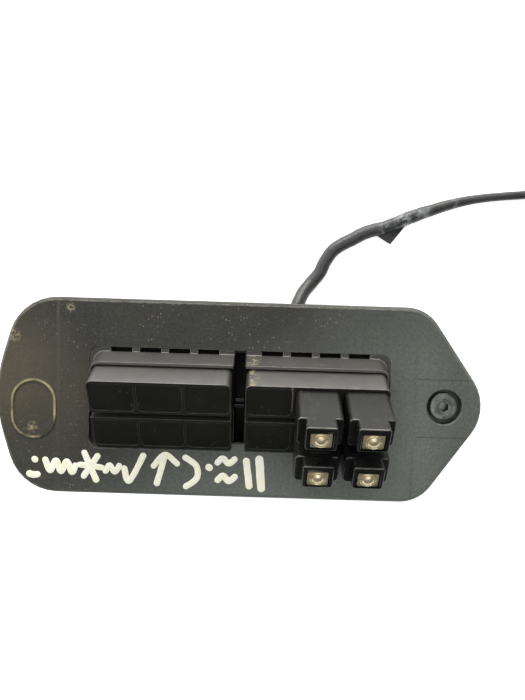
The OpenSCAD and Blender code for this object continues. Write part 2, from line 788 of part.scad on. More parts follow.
face_plate();
plate_gasket();
collar_frame();
contact_housing_a();
contact_housing_b();
terminal_board_a();
terminal_board_b();
blank_cap(0);  // blank_cap_1
blank_cap(1);  // blank_cap_2
blank_cap(2);  // blank_cap_3
blank_cap(3);  // blank_cap_4
blank_cap(4);  // blank_cap_5
blank_cap(5);  // blank_cap_6
blank_cap(6);  // blank_cap_7
blank_cap(7);  // blank_cap_8
plunger_shell(0);  // plunger_shell_1
plunger_shell(1);  // plunger_shell_2
plunger_shell(2);  // plunger_shell_3
plunger_shell(3);  // plunger_shell_4
contact_pin(0);  // contact_pin_1
contact_pin(1);  // contact_pin_2
contact_pin(2);  // contact_pin_3
contact_pin(3);  // contact_pin_4
plunger_spring(0);  // plunger_spring_1
plunger_spring(1);  // plunger_spring_2
plunger_spring(2);  // plunger_spring_3
plunger_spring(3);  // plunger_spring_4
terminal_clip(0);  // terminal_clip_1
terminal_clip(1);  // terminal_clip_2
terminal_clip(2);  // terminal_clip_3
terminal_clip(3);  // terminal_clip_4
lead_wire(0);  // lead_wire_1
lead_wire(1);  // lead_wire_2
lead_wire(2);  // lead_wire_3
lead_wire(3);  // lead_wire_4
rear_cover();
cover_screws();
mounting_screw();
screw_bush();
screw_washer();
cable_grommet();
harness_cable();
tape_flag();
harness_coil();
coil_tie();
harness_tail();
connector_seal();
connector_body();
connector_pins();
connector_lock();
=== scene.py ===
import bpy
import bmesh
import math
from mathutils import Matrix, Vector, noise


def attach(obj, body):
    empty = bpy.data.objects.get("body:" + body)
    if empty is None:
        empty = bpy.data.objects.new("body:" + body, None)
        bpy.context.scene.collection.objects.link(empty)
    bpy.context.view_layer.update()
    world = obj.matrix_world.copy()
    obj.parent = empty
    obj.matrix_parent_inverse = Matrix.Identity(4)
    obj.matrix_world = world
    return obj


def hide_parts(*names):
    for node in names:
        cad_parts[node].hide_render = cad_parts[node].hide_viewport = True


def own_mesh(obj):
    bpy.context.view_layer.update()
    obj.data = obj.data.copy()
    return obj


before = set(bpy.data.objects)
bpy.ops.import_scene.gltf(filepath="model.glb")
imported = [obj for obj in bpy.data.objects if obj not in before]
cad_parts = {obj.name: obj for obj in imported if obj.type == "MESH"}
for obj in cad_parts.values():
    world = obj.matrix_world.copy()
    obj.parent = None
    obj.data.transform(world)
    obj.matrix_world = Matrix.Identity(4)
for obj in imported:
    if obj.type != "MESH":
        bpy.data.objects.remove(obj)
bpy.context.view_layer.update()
mm = 0.001
creaseAngle, bevelAngle = 38, 30
print("frame loaded")


# Small helpers

def addObject(name, data):
    thing = bpy.data.objects.new(name, data)
    bpy.context.scene.collection.objects.link(thing)
    return thing


def keepNormals(piece):
    solved = piece.evaluated_get(bpy.context.evaluated_depsgraph_get())
    normals = [part for corner in solved.to_mesh().corner_normals for part in corner.vector]
    solved.to_mesh_clear()
    piece.data.attributes.new("turned", "FLOAT_VECTOR", "CORNER").data.foreach_set("vector", normals)


def pieceFrom(form, name, material, nodes=(), body="panel"):
    mesh = bpy.data.meshes.new(name)
    form.to_mesh(mesh)
    form.free()
    mesh.shade_smooth()
    mesh.set_sharp_from_angle(angle=math.radians(creaseAngle))
    mesh.materials.append(material)
    piece = addObject(name, mesh)
    even = piece.modifiers.new("evenNormals", "WEIGHTED_NORMAL")
    even.keep_sharp = True
    keepNormals(piece)
    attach(piece, body)
    if nodes:
        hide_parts(*nodes)
    return piece


# Camera, lights and floor

view = {"at": (-7.0825, -29.5951, 220.715), "turn": (-3.599, 0.027, -178.230), "lens": 29.109}
studio = {
    "key": {"at": (60, -620, 240), "size": (620, 240), "power": 5.6, "colour": (1, 0.985, 0.95)},
    "top": {"at": (-40, 60, 760), "size": (700, 700), "power": 1.9, "colour": (0.97, 0.99, 1)},
    "side": {"at": (560, -160, 260), "size": (260, 260), "power": 1.2, "colour": (1, 1, 1)},
    "sky": 0.26,
    "floor": (0.93, 0.93, 0.925), "floorGlow": 0.75,
}


def makeCamera():
    lens = bpy.data.cameras.new("panelCamera")
    lens.lens = view["lens"]
    lens.sensor_width = 36
    lens.clip_start = 0.01
    camera = addObject("panelCamera", lens)
    camera.location = Vector(view["at"]) * mm
    camera.rotation_euler = [math.radians(a) for a in view["turn"]]
    bpy.context.scene.camera = camera


def makeLights():
    for name in ("key", "top", "side"):
        look = studio[name]
        lamp = bpy.data.lights.new(name + "Light", "AREA")
        lamp.shape = "RECTANGLE"
        lamp.size, lamp.size_y = (side * mm for side in look["size"])
        lamp.energy = look["power"]
        lamp.color = look["colour"]
        holder = addObject(name + "Light", lamp)
        holder.location = Vector(look["at"]) * mm
        holder.rotation_euler = (-holder.location + Vector((0, 0, 0.03))).to_track_quat("-Z", "Y").to_euler()
    world = bpy.data.worlds.new("softRoom")
    world.use_nodes = True
    tree = world.node_tree
    back = tree.nodes["Background"]
    place = tree.nodes.new("ShaderNodeTexCoord")
    split = tree.nodes.new("ShaderNodeSeparateXYZ")
    ramp = tree.nodes.new("ShaderNodeMapRange")
    tree.links.new(place.outputs["Generated"], split.inputs[0])
    tree.links.new(split.outputs["Y"], ramp.inputs["Value"])
    for socket, value in (("From Min", -0.9), ("From Max", 0.8), ("To Min", 1.0), ("To Max", 0.25)):
        ramp.inputs[socket].default_value = value
    tree.links.new(ramp.outputs["Result"], back.inputs["Color"])
    back.inputs["Strength"].default_value = studio["sky"]
    bpy.context.scene.world = world
    bpy.context.scene.view_settings.view_transform = "Standard"


def makeFloor():
    form = bmesh.new()
    bmesh.ops.create_grid(form, x_segments=1, y_segments=1, size=1.6)
    mesh = bpy.data.meshes.new("studioFloor")
    form.to_mesh(mesh)
    form.free()
    floor = addObject("studioFloor", mesh)
    paint = bpy.data.materials.new("floorPaper")
    paint.use_nodes = True
    skin = paint.node_tree.nodes["Principled BSDF"]
    skin.inputs["Base Color"].default_value = (*studio["floor"], 1)
    skin.inputs["Roughness"].default_value = 0.8
    skin.inputs["Specular IOR Level"].default_value = 0.2
    skin.inputs["Emission Color"].default_value = (1, 1, 1, 1)
    skin.inputs["Emission Strength"].default_value = studio["floorGlow"]
    mesh.materials.append(paint)


makeCamera()
makeLights()
makeFloor()
print("camera, lights and floor")


# Node groups that several finishes share

def feed(tree, item, sockets):
    for socket, value in sockets.items():
        if isinstance(value, bpy.types.NodeSocket):
            tree.links.new(value, item.inputs[socket])
        else:
            item.inputs[socket].default_value = value


def addNode(tree, kind, sockets=None, **settings):
    item = tree.nodes.new("ShaderNode" + kind)
    for key, value in settings.items():
        setattr(item, key, value)
    feed(tree, item, sockets or {})
    return item


def newGroup(name, inputs, outputs):
    group = bpy.data.node_groups.new(name, "ShaderNodeTree")
    for label, kind, value in inputs:
        socket = group.interface.new_socket(label, in_out="INPUT", socket_type=kind)
        if value is not None:
            socket.default_value = value
    for label, kind in outputs:
        group.interface.new_socket(label, in_out="OUTPUT", socket_type=kind)
    return group, group.nodes.new("NodeGroupInput"), group.nodes.new("NodeGroupOutput")


def useGroup(tree, group, sockets):
    item = tree.nodes.new("ShaderNodeGroup")
    item.node_tree = group
    feed(tree, item, sockets)
    return item.outputs


def mixColour(tree, mask, first, second):
    item = tree.nodes.new("ShaderNodeMix")
    item.data_type = "RGBA"
    first, second = ((*c, 1) if isinstance(c, tuple) else c for c in (first, second))
    feed(tree, item, {0: mask, 6: first, 7: second})
    return item.outputs[2]


def math2(tree, kind, a, b=0.0, clamp=False):
    return addNode(tree, "Math", {0: a, 1: b}, operation=kind, use_clamp=clamp).outputs[0]


def times(tree, first, *others):
    for other in others:
        first = math2(tree, "MULTIPLY", first, other)
    return first


def distanceTo(tree, place, spot):
    return addNode(tree, "VectorMath", {0: place, 1: Vector(spot) * mm}, operation="DISTANCE").outputs["Value"]


def offLine(tree, value, at):
    return math2(tree, "ABSOLUTE", math2(tree, "SUBTRACT", value, at * mm))


def cloudy(tree, place, scale, detail, rough=0.5):
    return addNode(tree, "TexNoise", {"Vector": place, "Scale": scale, "Detail": detail, "Roughness": rough}
                   ).outputs["Fac"]


def band(tree, value, low, high, start=0.0, end=1.0):
    return addNode(tree, "MapRange", {"Value": value, "From Min": low, "From Max": high, "To Min": start,
                                      "To Max": end}).outputs[0]


def grainGroup():
    group, inside, outside = newGroup(
        "mouldGrain",
        [("Place", "NodeSocketVector", None), ("Scale", "NodeSocketFloat", 2500.0),
         ("Depth", "NodeSocketFloat", 0.3)],
        [("Normal", "NodeSocketVector"), ("Tone", "NodeSocketFloat")])
    fine = cloudy(group, inside.outputs["Place"], inside.outputs["Scale"], 3.0, 0.6)
    bump = addNode(group, "Bump", {"Strength": inside.outputs["Depth"], "Distance": 0.0001, "Height": fine})
    group.links.new(bump.outputs["Normal"], outside.inputs["Normal"])
    group.links.new(fine, outside.inputs["Tone"])
    return group


def speckGroup():
    group, inside, outside = newGroup(
        "dustSpecks",
        [("Place", "NodeSocketVector", None), ("Scale", "NodeSocketFloat", 700.0),
         ("Amount", "NodeSocketFloat", 0.1)],
        [("Mask", "NodeSocketFloat")])
    cells = addNode(group, "TexVoronoi", {"Vector": inside.outputs["Place"], "Scale": inside.outputs["Scale"],
                                          "Randomness": 1.0})
    dot = band(group, cells.outputs["Distance"], 0.34, 0.12)
    chance = addNode(group, "SeparateColor", {"Color": cells.outputs["Color"]}).outputs[0]
    keep = math2(group, "LESS_THAN", chance, inside.outputs["Amount"])
    drift = cloudy(group, inside.outputs["Place"], 60.0, 2.0)
    group.links.new(times(group, keep, dot, band(group, drift, 0.4, 0.62)), outside.inputs["Mask"])
    return group


def scratchGroup():
    group, inside, outside = newGroup(
        "fineScratches",
        [("Place", "NodeSocketVector", None), ("Amount", "NodeSocketFloat", 0.5)],
        [("Mask", "NodeSocketFloat")])
    total = None
    for turn, stretch in ((0.35, (60, 1500, 60)), (-0.9, (70, 1900, 70)), (1.9, (50, 1300, 50))):
        place = addNode(group, "Mapping", {"Vector": inside.outputs["Place"], "Rotation": (0.2, 0.3, turn),
                                           "Scale": stretch})
        thin = band(group, cloudy(group, place.outputs[0], 1.0, 1.0), 0.71, 0.76)
        total = thin if total is None else math2(group, "MAXIMUM", total, thin)
    patch = band(group, cloudy(group, inside.outputs["Place"], 90.0, 3.0), 0.48, 0.62)
    group.links.new(times(group, total, patch, inside.outputs["Amount"]), outside.inputs["Mask"])
    return group


def wearGroup():
    group, inside, outside = newGroup(
        "edgeWear",
        [("Place", "NodeSocketVector", None), ("Amount", "NodeSocketFloat", 0.5)],
        [("Mask", "NodeSocketFloat")])
    edge = addNode(group, "Attribute", attribute_name="edgeWear").outputs["Fac"]
    broken = band(group, cloudy(group, inside.outputs["Place"], 330.0, 4.0, 0.65), 0.36, 0.62)
    group.links.new(times(group, edge, broken, inside.outputs["Amount"]), outside.inputs["Mask"])
    return group


grain, specks, scratches, edgeWear = grainGroup(), speckGroup(), scratchGroup(), wearGroup()


def newMaterial(name):
    paint = bpy.data.materials.new(name)
    paint.use_nodes = True
    tree = paint.node_tree
    place = addNode(tree, "TexCoord").outputs["Object"]
    return paint, tree, tree.nodes["Principled BSDF"], place


def mouldedPlastic(name, look):
    paint, tree, skin, place = newMaterial(name)
    cloud = cloudy(tree, place, look.get("cloud", 45.0), 5.0, 0.6)
    colour = mixColour(tree, band(tree, cloud, 0.38, 0.64), look["colour"], look["second"])
    fine = useGroup(tree, grain, {"Place": place, "Scale": look.get("grainScale", 2500.0),
                                  "Depth": look.get("grainDepth", 0.25)})
    tone = band(tree, fine["Tone"], 0.3, 0.7, 0.0, look.get("grainTone", 0.35))
    light = look.get("light", (0.12, 0.12, 0.11))
    colour = mixColour(tree, tone, colour, light)
    line = useGroup(tree, scratches, {"Place": place, "Amount": look.get("scratch", 0.2)})["Mask"]
    colour = mixColour(tree, line, colour, light)
    dot = useGroup(tree, specks, {"Place": place, "Scale": look.get("speckScale", 900.0),
                                  "Amount": look.get("speck", 0.12)})["Mask"]
    colour = mixColour(tree, times(tree, dot, look.get("speckTone", 0.5)), colour,
                       look.get("dust", (0.30, 0.28, 0.22)))
    edge = useGroup(tree, edgeWear, {"Place": place, "Amount": look.get("wear", 0.5)})["Mask"]
    colour = mixColour(tree, edge, colour, look.get("worn", (0.16, 0.16, 0.14)))
    tree.links.new(colour, skin.inputs["Base Color"])
    low, high = look.get("rough", (0.42, 0.58))
    tree.links.new(band(tree, cloud, 0.35, 0.65, low, high), skin.inputs["Roughness"])
    tree.links.new(fine["Normal"], skin.inputs["Normal"])
    skin.inputs["Specular IOR Level"].default_value = look.get("shine", 0.4)
    return paint, tree, skin, place, colour


def metalFinish(name, look):
    paint, tree, skin, place = newMaterial(name)
    cloud = cloudy(tree, place, look.get("cloud", 400.0), 4.0)
    tree.links.new(mixColour(tree, band(tree, cloud, 0.4, 0.68), look["colour"], look["second"]),
                   skin.inputs["Base Color"])
    low, high = look["rough"]
    tree.links.new(band(tree, cloud, 0.35, 0.65, low, high), skin.inputs["Roughness"])
    fine = useGroup(tree, grain, {"Place": place, "Scale": look.get("grainScale", 4000.0),
                                  "Depth": look.get("grainDepth", 0.08)})
    tree.links.new(fine["Normal"], skin.inputs["Normal"])
    skin.inputs["Metallic"].default_value = look.get("metal", 1.0)
    return paint


# Moulded pieces: a merged copy of the frame's solid with its edges rounded

def mergedCopy(node):
    form = bmesh.new()
    form.from_mesh(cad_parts[node].data)
    bmesh.ops.remove_doubles(form, verts=form.verts, dist=0.002 * mm)
    bmesh.ops.dissolve_limit(form, angle_limit=math.radians(0.5), verts=form.verts, edges=form.edges)
    return form


def roundEdges(form, radius, steps=2, where=None):
    wear = form.faces.layers.float.get("edgeWear") or form.faces.layers.float.new("edgeWear")
    sharp = [e for e in form.edges if len(e.link_faces) == 2 and e.calc_face_angle() > math.radians(bevelAngle)
             and (where is None or where(e))]
    made = bmesh.ops.bevel(form, geom=sharp, offset=radius * mm, offset_type="OFFSET", segments=steps,
                           profile=0.5, affect="EDGES", clamp_overlap=False, material=-1)
    for face in made["faces"]:
        face[wear] = 1.0


def mouldedPiece(node, name, material, radius, steps=2):
    form = mergedCopy(node)
    roundEdges(form, radius, steps)
    return pieceFrom(form, name, material, [node])


def addLathe(form, profile, steps=40):
    dots = [form.verts.new((r * mm, 0, z * mm)) for r, z in profile]
    lines = [form.edges.new(pair) for pair in zip(dots, dots[1:])]
    made = bmesh.ops.spin(form, geom=dots + lines, axis=(0, 0, 1), cent=(0, 0, 0), angle=2 * math.pi, steps=steps,
                          use_merge=True)
    bmesh.ops.remove_doubles(form, verts=form.verts, dist=0.0005 * mm)
    return made


def addBlock(form, size, centre, radius=0.0, steps=3, rim=0.0):
    made = bmesh.ops.create_cube(form, size=1.0)["verts"]
    bmesh.ops.scale(form, verts=made, vec=Vector(size) * mm)
    bmesh.ops.translate(form, verts=made, vec=Vector(centre) * mm)
    edges = {e for v in made for e in v.link_edges}
    if radius:
        upright = [e for e in edges if abs((e.verts[0].co - e.verts[1].co).normalized().z) > 0.9]
        cut = bmesh.ops.bevel(form, geom=upright, offset=radius * mm, offset_type="OFFSET", segments=steps,
                              profile=0.5, affect="EDGES", material=-1)
        made = list({v for f in cut["faces"] for v in f.verts} | {v for v in made if v.is_valid})
    if rim:
        top = max(v.co.z for v in made)
        edges = {e for v in made for e in v.link_edges if all(abs(w.co.z - top) < 1e-7 for w in e.verts)}
        bmesh.ops.bevel(form, geom=list(edges), offset=rim * mm, offset_type="OFFSET", segments=2, profile=0.5,
                        affect="EDGES", material=-1)


# Cable, its coil and its tail, as one cord

cableLook = {
    "colour": (0.022, 0.024, 0.024), "second": (0.045, 0.047, 0.046), "light": (0.20, 0.205, 0.20),
    "cloud": 60.0, "grainScale": 1600.0, "grainDepth": 0.5, "grainTone": 0.16, "scratch": 0.3, "speck": 0.08,
    "wear": 0.5, "worn": (0.07, 0.072, 0.07), "rough": (0.34, 0.6), "shine": 0.55, "patch": (0.33, 0.35, 0.36),
    "patches": ((-60.2, -66.4, 5.5), (-66.5, -69.3, 4), (-77, -73.2, 3.5), (-52, -63.2, 3)),
    "thin": 1.6, "exit": (-19, -28.495, 8.5), "pitch": 6.4, "ridge": 0.11, "step": 0.45, "sides": 22,
    "route": ((-19, -28.495, 8.5), (-19, -29.695, 8.5), (-19.5, -32, 8.1), (-21, -36, 6.1), (-23, -39.5, 4),
              (-25.5, -42.5, 2.8), (-28.5, -46.5, 2.5), (-30.5, -51, 2.5), (-34, -55.5, 2.5), (-39.5, -58.8, 2.5),
              (-46, -62.2, 2.5), (-53, -64.2, 2.5), (-62, -68.2, 2.1), (-70, -71.2, 1.8), (-80, -74.4, 1.6),
              (-90, -76.4, 1.6), (-104.5, -78, 1.6), (-116, -78.7, 1.6)),
    "thick": {0: 2.5, 12: 2.5, 13: 2.2, 14: 1.9},
    "coilAt": (-128, -98), "outer": 19.2, "inner": 16, "middle": 17.6, "stacked": 4.4,
    "coilTurns": (90, 900), "coilDots": 48, "strand": 3.2, "ragged": 420.0,
    "tail": ((-145.7, -104, 4.5), (-145.5, -110, 4.4), (-144.6, -116, 3.6), (-142.6, -121.5, 3.3),
             (-139.4, -126.2, 3.9), (-135.6, -129.7, 5.2), (-132.4, -131, 6), (-131, -131, 6)),
}


def coilPoints():
    x, y = cableLook["coilAt"]
    low, points, apart = cableLook["thin"], [], cableLook["strand"]
    first, last = cableLook["coilTurns"]
    for step in range(cableLook["coilDots"]):
        turn = first + step * (last - first) / (cableLook["coilDots"] - 1)
        if turn < 345:
            reach, high = cableLook["outer"], low
        elif turn < 425:
            reach, high = cableLook["outer"] - apart * (turn - 345) / 80, low
        elif turn < 640:
            reach, high = cableLook["inner"], low
        elif turn < 700:
            lift = math.radians(turn - 640)
            reach, high = cableLook["outer"] - apart * math.cos(lift), low + apart * math.sin(lift)
        else:
            bulge = 0.4 * math.sin(math.pi * max(0, min(1, (turn - 700) / 120)))
            reach, high = cableLook["middle"], cableLook["stacked"] + bulge
        angle = math.radians(turn)
        points.append((x + reach * math.cos(angle), y + reach * math.sin(angle), high))
    return points


def smoothPath(dots, sizes, step):
    path, radii = [], []
    for i in range(len(dots) - 1):
        a, b, c, d = dots[max(i - 1, 0)], dots[i], dots[i + 1], dots[min(i + 2, len(dots) - 1)]
        count = max(2, round((c - b).length / step))
        for k in range(count):
            t = k / count
            path.append(0.5 * (2 * b + (c - a) * t + (2 * a - 5 * b + 4 * c - d) * t * t
                               + (3 * b - a - 3 * c + d) * t ** 3))
            radii.append(sizes[i] + (sizes[i + 1] - sizes[i]) * t)
    return path + [dots[-1]], radii + [sizes[-1]]


def sweepTube(form, path, sides, ring, worn=None):
    layer = form.verts.layers.float.get("edgeWear") or form.verts.layers.float.new("edgeWear")
    across, run, rows = Vector((0, 0, 1)), 0.0, []
    for i, spot in enumerate(path):
        along = (path[min(i + 1, len(path) - 1)] - path[max(i - 1, 0)]).normalized()
        across = (across - along * across.dot(along)).normalized()
        side = along.cross(across)
        run += (spot - path[i - 1]).length if i else 0.0
        row = []
        for k in range(sides):
            angle = 2 * math.pi * k / sides
            wide, high = ring(i, run, angle)
            vert = form.verts.new((spot + side * wide * math.cos(angle) + across * high * math.sin(angle)) * mm)
            vert[layer] = worn(run, angle) if worn else 0.0
            row.append(vert)
        rows.append(row)
    for one, two in zip(rows, rows[1:]):
        for k in range(sides):
            form.faces.new((one[k], one[k - 1], two[k - 1], two[k]))
    form.faces.new(rows[0])
    form.faces.new(list(reversed(rows[-1])))
    return rows


def tapePhase(run, angle):
    return (run / cableLook["pitch"] + angle / (2 * math.pi)) % 1.0


def makeCable():
    dots = [Vector(p) for p in cableLook["route"] + tuple(coilPoints()) + cableLook["tail"]]
    sizes, size = [], 2.5
    for i in range(len(dots)):
        size = cableLook["thick"].get(i, size if i < 15 else cableLook["thin"])
        sizes.append(size)
    path, radii = smoothPath(dots, sizes, cableLook["step"])

    def ring(i, run, angle):
        if i < 3 or i > len(path) - 8:
            return radii[i], radii[i]
        taped = min(1, max(0, (radii[i] - 1.5) / 0.9))
        lump = 0.07 * noise.noise(Vector((run * 0.16, math.cos(angle), math.sin(angle))))
        fat = radii[i] - 0.06 + lump + cableLook["ridge"] * taped * (1 - tapePhase(run, angle))
        return fat, fat

    def seam(run, angle):
        return 1.0 if tapePhase(run, angle) < 0.12 else 0.0

    form = bmesh.new()
    sweepTube(form, path, cableLook["sides"], ring, seam)
    paint, tree, skin, place, colour = mouldedPlastic("cableTape", cableLook)
    ragged = cloudy(tree, place, cableLook["ragged"], 4.0, 0.6)
    for x, y, wide in cableLook["patches"]:
        near = band(tree, distanceTo(tree, place, (x, y, 4)), wide * mm, 0.2 * wide * mm)
        rubbedAndLit = math2(tree, "MULTIPLY", near, band(tree, ragged, 0.46, 0.58), True)
        colour = mixColour(tree, rubbedAndLit, colour, cableLook["patch"])
    tree.links.new(colour, skin.inputs["Base Color"])
    cable = pieceFrom(form, "harnessCable", paint,
                      ["harness_cable", "harness_coil", "harness_tail"])
    line = [tuple(p * mm) for p in path]
    long = sum((b - a).length for a, b in zip(path, path[1:]))
    return cable, line, long * mm


cable, cableLine, cableLength = makeCable()
print("cable", round(cableLength, 4))


# Tape flag, coil tie and connector on the cable

tieLook = {
    "colour": (0.018, 0.018, 0.018), "second": (0.03, 0.03, 0.03), "rough": (0.25, 0.4), "grainDepth": 0.1,
    "grainTone": 0.1, "angle": 120, "wide": 3.0, "thick": 0.8, "hug": 1.62, "middle": 2.6, "least": 0.35,
    "head": (2.6, 4.2, 3.0), "headAt": (20.5, 0, 5.0),
}
flagLook = {
    "colour": (0.012, 0.013, 0.013), "second": (0.02, 0.02, 0.02), "rough": (0.22, 0.35), "grainDepth": 0.2,
    "corners": ((-49.6, -60.9), (-54.8, -57.7), (-61.2, -66.0)), "low": 2.2, "thick": 0.3, "curl": 1.1,
}
connectorLook = {
    "colour": (0.028, 0.028, 0.027), "second": (0.04, 0.04, 0.038), "rough": (0.36, 0.5), "wear": 0.5,
    "worn": (0.14, 0.14, 0.135), "grainDepth": 0.25,
}
lockLook = {
    "colour": (0.55, 0.50, 0.40), "second": (0.48, 0.43, 0.34), "light": (0.7, 0.66, 0.55), "rough": (0.35, 0.5),
    "worn": (0.75, 0.7, 0.6), "dust": (0.3, 0.26, 0.2),
}
sealLook = {
    "colour": (0.30, 0.075, 0.035), "second": (0.24, 0.055, 0.03), "light": (0.38, 0.13, 0.07),
    "rough": (0.4, 0.6), "worn": (0.4, 0.16, 0.1), "at": (-131, -131, 6),
    "profile": ((0, 0), (3.7, 0), (4.1, 0.25), (4.1, 0.65), (3.75, 0.85), (3.75, 1.05), (4.2, 1.25), (4.2, 1.75),
                (3.75, 1.95), (3.75, 2.15), (4.1, 2.35), (4.1, 2.75), (3.8, 3.0), (0, 3.0)),
}


def makeFlag():
    form = bmesh.new()
    one, two, three = (Vector((*p, 0)) for p in flagLook["corners"])
    rows = 10
    grid = {}
    for i in range(rows + 1):
        for j in range(i + 1):
            spot = one + (two - one) * ((i - j) / rows) + (three - one) * (j / rows)
            lift = flagLook["curl"] * (i / rows) ** 2 * (0.45 + 0.25 * math.sin(5 * j / rows))
            grid[i, j] = form.verts.new(Vector((spot.x, spot.y, flagLook["low"] + lift)) * mm)
    for i in range(rows):
        for j in range(i + 1):
            form.faces.new((grid[i, j], grid[i + 1, j], grid[i + 1, j + 1]))
            if j < i:
                form.faces.new((grid[i, j], grid[i + 1, j + 1], grid[i, j + 1]))
    bmesh.ops.recalc_face_normals(form, faces=form.faces)
    bmesh.ops.solidify(form, geom=form.faces, thickness=-flagLook["thick"] * mm)
    return pieceFrom(form, "tapeFlag", mouldedPlastic("flagTape", flagLook)[0], ["tape_flag"])


def makeTie():
    form = bmesh.new()
    wide = tieLook["wide"] / 2
    thin, hug = cableLook["thin"], tieLook["hug"]
    strands = ((cableLook["inner"], thin), (cableLook["outer"], thin), (cableLook["middle"], cableLook["stacked"]))
    dots = {(round(r + hug * math.cos(a), 4), round(max(0.0, z + hug * math.sin(a)), 4))
            for r, z in strands for a in (math.radians(k * 15) for k in range(24))}
    for across in (-wide, wide):
        for r, z in dots:
            form.verts.new(Vector((r, across, z)) * mm)
    made = bmesh.ops.convex_hull(form, input=form.verts)
    buried = [v for v in made["geom_interior"] if isinstance(v, bmesh.types.BMVert)]
    bmesh.ops.delete(form, geom=buried, context="VERTS")
    ends = [f for f in form.faces if abs(f.normal.y) > 0.9]
    bmesh.ops.delete(form, geom=ends, context="FACES_ONLY")
    bmesh.ops.recalc_face_normals(form, faces=form.faces)
    middle = Vector((cableLook["middle"], 0, tieLook["middle"])) * mm
    inner = bmesh.ops.duplicate(form, geom=form.faces)["geom"]
    loose = [v for v in inner if isinstance(v, bmesh.types.BMVert)]
    outer = [v for v in form.verts if v not in set(loose)]
    for vert in outer:
        away = Vector((vert.co.x - middle.x, 0, vert.co.z - middle.z)).normalized() * tieLook["thick"] * mm
        vert.co += away
        vert.co.z = max(vert.co.z, 0.0)
    for vert in loose:
        vert.co.z = max(vert.co.z, tieLook["least"] * mm)
    bmesh.ops.reverse_faces(form, faces=[f for f in inner if isinstance(f, bmesh.types.BMFace)])
    rims = [e for e in form.edges if len(e.link_faces) == 1]
    for sign in (-1, 1):
        bmesh.ops.bridge_loops(form, edges=[e for e in rims if e.verts[0].co.y * sign > 0])
    addBlock(form, tieLook["head"], tieLook["headAt"], 0.5, 3, 0.2)
    bmesh.ops.recalc_face_normals(form, faces=form.faces)
    turn = Matrix.Rotation(math.radians(tieLook["angle"]), 4, "Z")
    moved = Matrix.Translation(Vector((*cableLook["coilAt"], 0)) * mm)
    bmesh.ops.transform(form, matrix=moved @ turn, verts=form.verts)
    return pieceFrom(form, "coilTie", mouldedPlastic("tieNylon", tieLook)[0], ["coil_tie"])


pinLook = {"colour": (0.55, 0.55, 0.53), "second": (0.40, 0.40, 0.38), "rough": (0.25, 0.4)}


def makeConnector():
    body = mouldedPiece("connector_body", "connectorBody", mouldedPlastic("connectorPlastic", connectorLook)[0],
                        0.5, 3)
    lock = mouldedPiece("connector_lock", "connectorLock", mouldedPlastic("lockPlastic", lockLook)[0],
                        0.3)
    form = bmesh.new()
    addLathe(form, sealLook["profile"], 32)
    turned = Matrix.Translation(Vector(sealLook["at"]) * mm) @ Matrix.Rotation(math.pi / 2, 4, "Y")
    bmesh.ops.recalc_face_normals(form, faces=form.faces)
    bmesh.ops.transform(form, matrix=turned, verts=form.verts)
    seal = pieceFrom(form, "connectorSeal", mouldedPlastic("sealRubber", sealLook)[0],
                     ["connector_seal"])
    pins = mouldedPiece("connector_pins", "connectorPins", metalFinish("pinTin", pinLook), 0.12)
    return body, lock, seal, pins


onCable = [makeFlag(), makeTie(), *makeConnector()]
print("tape flag, tie and connector")


# Face plate

plateLook = {
    "colour": (0.015, 0.0145, 0.011), "second": (0.024, 0.0235, 0.0175), "light": (0.11, 0.108, 0.090),
    "grainScale": 1500.0, "grainDepth": 0.55, "grainTone": 0.30, "scratch": 0.35, "speck": 0.24,
    "speckScale": 1000.0, "speckTone": 0.6, "wear": 0.5, "worn": (0.22, 0.21, 0.18), "rough": (0.50, 0.66),
    "shine": 0.45, "edge": 0.28, "cool": (0.185, 0.202, 0.176), "brown": (0.094, 0.079, 0.050),
    "face": 30.2, "slant": (-0.55, 0.9), "slantFrom": (-22, 46), "tipFrom": (-62, -74), "sway": 0.04,
    "grimeAt": (84, -6, 30), "grimeFrom": (36, 12),
    "lines": (61.5, -59.5), "lineTone": (0.10, 0.094, 0.075),
    "rectangle": (-9.3, 10.5), "rectangleFrom": -60.5, "rectangleTone": (0.03, 0.033, 0.03),
    "rubs": ((76.2, -20.2, 2.6), (70.2, 10.9, 2.4), (57.5, -30, 2)), "rubTone": (0.50, 0.43, 0.26),
    "ovalAt": (69.75, 4.5), "ovalStraight": 2.6, "ovalRadius": 7.2, "ovalLine": 0.42,
    "ovalTone": (0.42, 0.36, 0.20), "ovalGap": (64.2, 12.2), "ovalRoom": 12,
}


